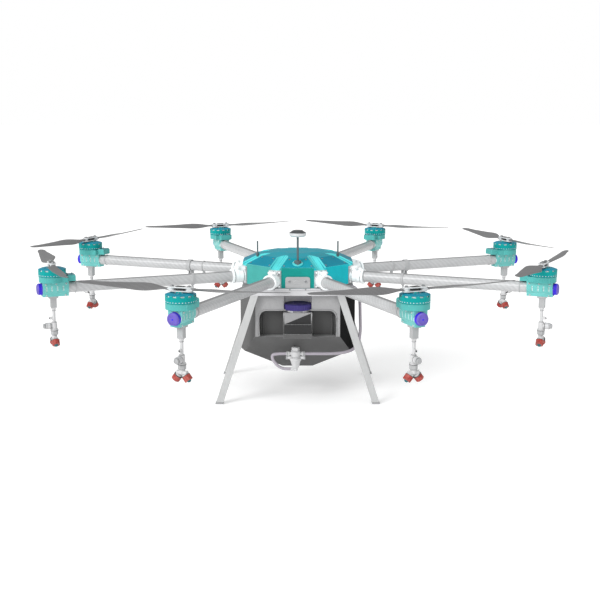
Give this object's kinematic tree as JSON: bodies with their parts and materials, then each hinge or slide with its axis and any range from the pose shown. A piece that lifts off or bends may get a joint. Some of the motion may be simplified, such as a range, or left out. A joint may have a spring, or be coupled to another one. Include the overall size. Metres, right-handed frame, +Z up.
{
  "type": "agricultural spray drone",
  "caption": "Multirotor agricultural spray drone with upward-folding carbon arms, folding propellers, a slung liquid tank with ribbed filler cap, drop nozzles and splayed landing legs.",
  "frame": {"origin": "on the ground under the hub's vertical axis, at the centre of the footprint", "axes": "+Z up, -Y is the front with the filler cap, +X to the right seen from the front"},
  "size_m": [1.8013, 1.756, 0.56],
  "materials": {
    "teal_shell": "moulded hub shell, satin teal",
    "white_composite": "white moulded mounting tray",
    "grey_plate": "satin grey plate with screws",
    "dark_plastic": "sealed dark housings",
    "grey_plastic": "grey antenna plastic and rods",
    "white_bracket": "smooth white hinge castings",
    "tank_grey": "rotomoulded tank plastic",
    "violet_cap": "ribbed dark violet cap",
    "hose": "pale grey-violet hose",
    "white_fitting": "white moulded plumbing fittings",
    "leg_grey": "light grey anodised leg tube",
    "foot_rubber": "black rubber foot",
    "carbon_tube": "light grey woven carbon-fibre tube",
    "teal_mount": "teal anodised-look mount with violet end cap",
    "teal_bell": "teal anodised motor bell",
    "blade_grey": "matte grey carbon-filled blade"
  },
  "bodies": {
    "airframe": {"hub_cover": "teal_shell", "mounting_tray": "white_composite", "front_plate": "grey_plate", "flight_electronics": "dark_plastic", "antennas": "grey_plastic", "arm_root_brackets": "white_bracket", "tank": "tank_grey", "tank_hoses": "hose", "outlet_strainer": "white_fitting", "landing_legs": "leg_grey", "leg_feet": "foot_rubber"},
    "filler_cap": {"tank_cap": "violet_cap"},
    "arm_1": {"arm_1": "carbon_tube", "motor_mount_1": "teal_mount", "nozzle_1": "white_fitting"},
    "rotor_1": {"rotor_1": "teal_bell"},
    "blade_1a": {"blade_1a": "blade_grey"},
    "blade_1b": {"blade_1b": "blade_grey"},
    "arm_2": {"arm_2": "carbon_tube", "motor_mount_2": "teal_mount", "nozzle_2": "white_fitting"},
    "rotor_2": {"rotor_2": "teal_bell"},
    "blade_2a": {"blade_2a": "blade_grey"},
    "blade_2b": {"blade_2b": "blade_grey"},
    "arm_3": {"arm_3": "carbon_tube", "motor_mount_3": "teal_mount", "nozzle_3": "white_fitting"},
    "rotor_3": {"rotor_3": "teal_bell"},
    "blade_3a": {"blade_3a": "blade_grey"},
    "blade_3b": {"blade_3b": "blade_grey"},
    "arm_4": {"arm_4": "carbon_tube", "motor_mount_4": "teal_mount", "nozzle_4": "white_fitting"},
    "rotor_4": {"rotor_4": "teal_bell"},
    "blade_4a": {"blade_4a": "blade_grey"},
    "blade_4b": {"blade_4b": "blade_grey"},
    "arm_5": {"arm_5": "carbon_tube", "motor_mount_5": "teal_mount", "nozzle_5": "white_fitting"},
    "rotor_5": {"rotor_5": "teal_bell"},
    "blade_5a": {"blade_5a": "blade_grey"},
    "blade_5b": {"blade_5b": "blade_grey"},
    "arm_6": {"arm_6": "carbon_tube", "motor_mount_6": "teal_mount", "nozzle_6": "white_fitting"},
    "rotor_6": {"rotor_6": "teal_bell"},
    "blade_6a": {"blade_6a": "blade_grey"},
    "blade_6b": {"blade_6b": "blade_grey"},
    "arm_7": {"arm_7": "carbon_tube", "motor_mount_7": "teal_mount", "nozzle_7": "white_fitting"},
    "rotor_7": {"rotor_7": "teal_bell"},
    "blade_7a": {"blade_7a": "blade_grey"},
    "blade_7b": {"blade_7b": "blade_grey"},
    "arm_8": {"arm_8": "carbon_tube", "motor_mount_8": "teal_mount", "nozzle_8": "white_fitting"},
    "rotor_8": {"rotor_8": "teal_bell"},
    "blade_8a": {"blade_8a": "blade_grey"},
    "blade_8b": {"blade_8b": "blade_grey"}
  },
  "joints": [
    {"name": "filler_cap_lift", "type": "slide", "parent": "airframe", "child": "filler_cap", "axis": [0, 0, 1], "range_m": [0, 0.026]},
    {"name": "arm_fold_1", "type": "hinge", "parent": "airframe", "child": "arm_1", "pos_m": [0.08113, -0.19586, 0.427], "axis": [-0.9239, -0.3827, 0], "range_deg": [0, 80]},
    {"name": "arm_fold_2", "type": "hinge", "parent": "airframe", "child": "arm_2", "pos_m": [0.19586, -0.08113, 0.427], "axis": [-0.3827, -0.9239, 0], "range_deg": [0, 80]},
    {"name": "arm_fold_3", "type": "hinge", "parent": "airframe", "child": "arm_3", "pos_m": [0.19586, 0.08113, 0.427], "axis": [0.3827, -0.9239, 0], "range_deg": [0, 80]},
    {"name": "arm_fold_4", "type": "hinge", "parent": "airframe", "child": "arm_4", "pos_m": [0.08113, 0.19586, 0.427], "axis": [0.9239, -0.3827, 0], "range_deg": [0, 80]},
    {"name": "arm_fold_5", "type": "hinge", "parent": "airframe", "child": "arm_5", "pos_m": [-0.08113, 0.19586, 0.427], "axis": [0.9239, 0.3827, 0], "range_deg": [0, 80]},
    {"name": "arm_fold_6", "type": "hinge", "parent": "airframe", "child": "arm_6", "pos_m": [-0.19586, 0.08113, 0.427], "axis": [0.3827, 0.9239, 0], "range_deg": [0, 80]},
    {"name": "arm_fold_7", "type": "hinge", "parent": "airframe", "child": "arm_7", "pos_m": [-0.19586, -0.08113, 0.427], "axis": [-0.3827, 0.9239, 0], "range_deg": [0, 80]},
    {"name": "arm_fold_8", "type": "hinge", "parent": "airframe", "child": "arm_8", "pos_m": [-0.08113, -0.19586, 0.427], "axis": [-0.9239, 0.3827, 0], "range_deg": [0, 80]},
    {"name": "rotor_spin_1", "type": "hinge", "parent": "arm_1", "child": "rotor_1", "pos_m": [0.31189, -0.75296, 0.473], "axis": [0, 0, 1], "continuous": true},
    {"name": "rotor_spin_2", "type": "hinge", "parent": "arm_2", "child": "rotor_2", "pos_m": [0.75296, -0.31189, 0.473], "axis": [0, 0, 1], "continuous": true},
    {"name": "rotor_spin_3", "type": "hinge", "parent": "arm_3", "child": "rotor_3", "pos_m": [0.75296, 0.31189, 0.473], "axis": [0, 0, 1], "continuous": true},
    {"name": "rotor_spin_4", "type": "hinge", "parent": "arm_4", "child": "rotor_4", "pos_m": [0.31189, 0.75296, 0.473], "axis": [0, 0, 1], "continuous": true},
    {"name": "rotor_spin_5", "type": "hinge", "parent": "arm_5", "child": "rotor_5", "pos_m": [-0.31189, 0.75296, 0.473], "axis": [0, 0, 1], "continuous": true},
    {"name": "rotor_spin_6", "type": "hinge", "parent": "arm_6", "child": "rotor_6", "pos_m": [-0.75296, 0.31189, 0.473], "axis": [0, 0, 1], "continuous": true},
    {"name": "rotor_spin_7", "type": "hinge", "parent": "arm_7", "child": "rotor_7", "pos_m": [-0.75296, -0.31189, 0.473], "axis": [0, 0, 1], "continuous": true},
    {"name": "rotor_spin_8", "type": "hinge", "parent": "arm_8", "child": "rotor_8", "pos_m": [-0.31189, -0.75296, 0.473], "axis": [0, 0, 1], "continuous": true},
    {"name": "blade_fold_1a", "type": "hinge", "parent": "rotor_1", "child": "blade_1a", "pos_m": [0.3353, -0.74421, 0.473], "axis": [0, 0, 1], "range_deg": [-85, 85]},
    {"name": "blade_fold_1b", "type": "hinge", "parent": "rotor_1", "child": "blade_1b", "pos_m": [0.28847, -0.76172, 0.473], "axis": [0, 0, -1], "range_deg": [-85, 85]},
    {"name": "blade_fold_2a", "type": "hinge", "parent": "rotor_2", "child": "blade_2a", "pos_m": [0.76412, -0.28951, 0.473], "axis": [0, 0, 1], "range_deg": [-85, 85]},
    {"name": "blade_fold_2b", "type": "hinge", "parent": "rotor_2", "child": "blade_2b", "pos_m": [0.74181, -0.33426, 0.473], "axis": [0, 0, -1], "range_deg": [-85, 85]},
    {"name": "blade_fold_3a", "type": "hinge", "parent": "rotor_3", "child": "blade_3a", "pos_m": [0.74421, 0.3353, 0.473], "axis": [0, 0, 1], "range_deg": [-85, 85]},
    {"name": "blade_fold_3b", "type": "hinge", "parent": "rotor_3", "child": "blade_3b", "pos_m": [0.76172, 0.28847, 0.473], "axis": [0, 0, -1], "range_deg": [-85, 85]},
    {"name": "blade_fold_4a", "type": "hinge", "parent": "rotor_4", "child": "blade_4a", "pos_m": [0.28932, 0.76372, 0.473], "axis": [0, 0, 1], "range_deg": [-85, 85]},
    {"name": "blade_fold_4b", "type": "hinge", "parent": "rotor_4", "child": "blade_4b", "pos_m": [0.33445, 0.7422, 0.473], "axis": [0, 0, -1], "range_deg": [-85, 85]},
    {"name": "blade_fold_5a", "type": "hinge", "parent": "rotor_5", "child": "blade_5a", "pos_m": [-0.3353, 0.74421, 0.473], "axis": [0, 0, 1], "range_deg": [-85, 85]},
    {"name": "blade_fold_5b", "type": "hinge", "parent": "rotor_5", "child": "blade_5b", "pos_m": [-0.28847, 0.76172, 0.473], "axis": [0, 0, -1], "range_deg": [-85, 85]},
    {"name": "blade_fold_6a", "type": "hinge", "parent": "rotor_6", "child": "blade_6a", "pos_m": [-0.76527, 0.29013, 0.473], "axis": [0, 0, 1], "range_deg": [-85, 85]},
    {"name": "blade_fold_6b", "type": "hinge", "parent": "rotor_6", "child": "blade_6b", "pos_m": [-0.74065, 0.33365, 0.473], "axis": [0, 0, -1], "range_deg": [-85, 85]},
    {"name": "blade_fold_7a", "type": "hinge", "parent": "rotor_7", "child": "blade_7a", "pos_m": [-0.74462, -0.33545, 0.473], "axis": [0, 0, 1], "range_deg": [-85, 85]},
    {"name": "blade_fold_7b", "type": "hinge", "parent": "rotor_7", "child": "blade_7b", "pos_m": [-0.76131, -0.28832, 0.473], "axis": [0, 0, -1], "range_deg": [-85, 85]},
    {"name": "blade_fold_8a", "type": "hinge", "parent": "rotor_8", "child": "blade_8a", "pos_m": [-0.28804, -0.76048, 0.473], "axis": [0, 0, 1], "range_deg": [-85, 85]},
    {"name": "blade_fold_8b", "type": "hinge", "parent": "rotor_8", "child": "blade_8b", "pos_m": [-0.33573, -0.74544, 0.473], "axis": [0, 0, -1], "range_deg": [-85, 85]}
  ]
}
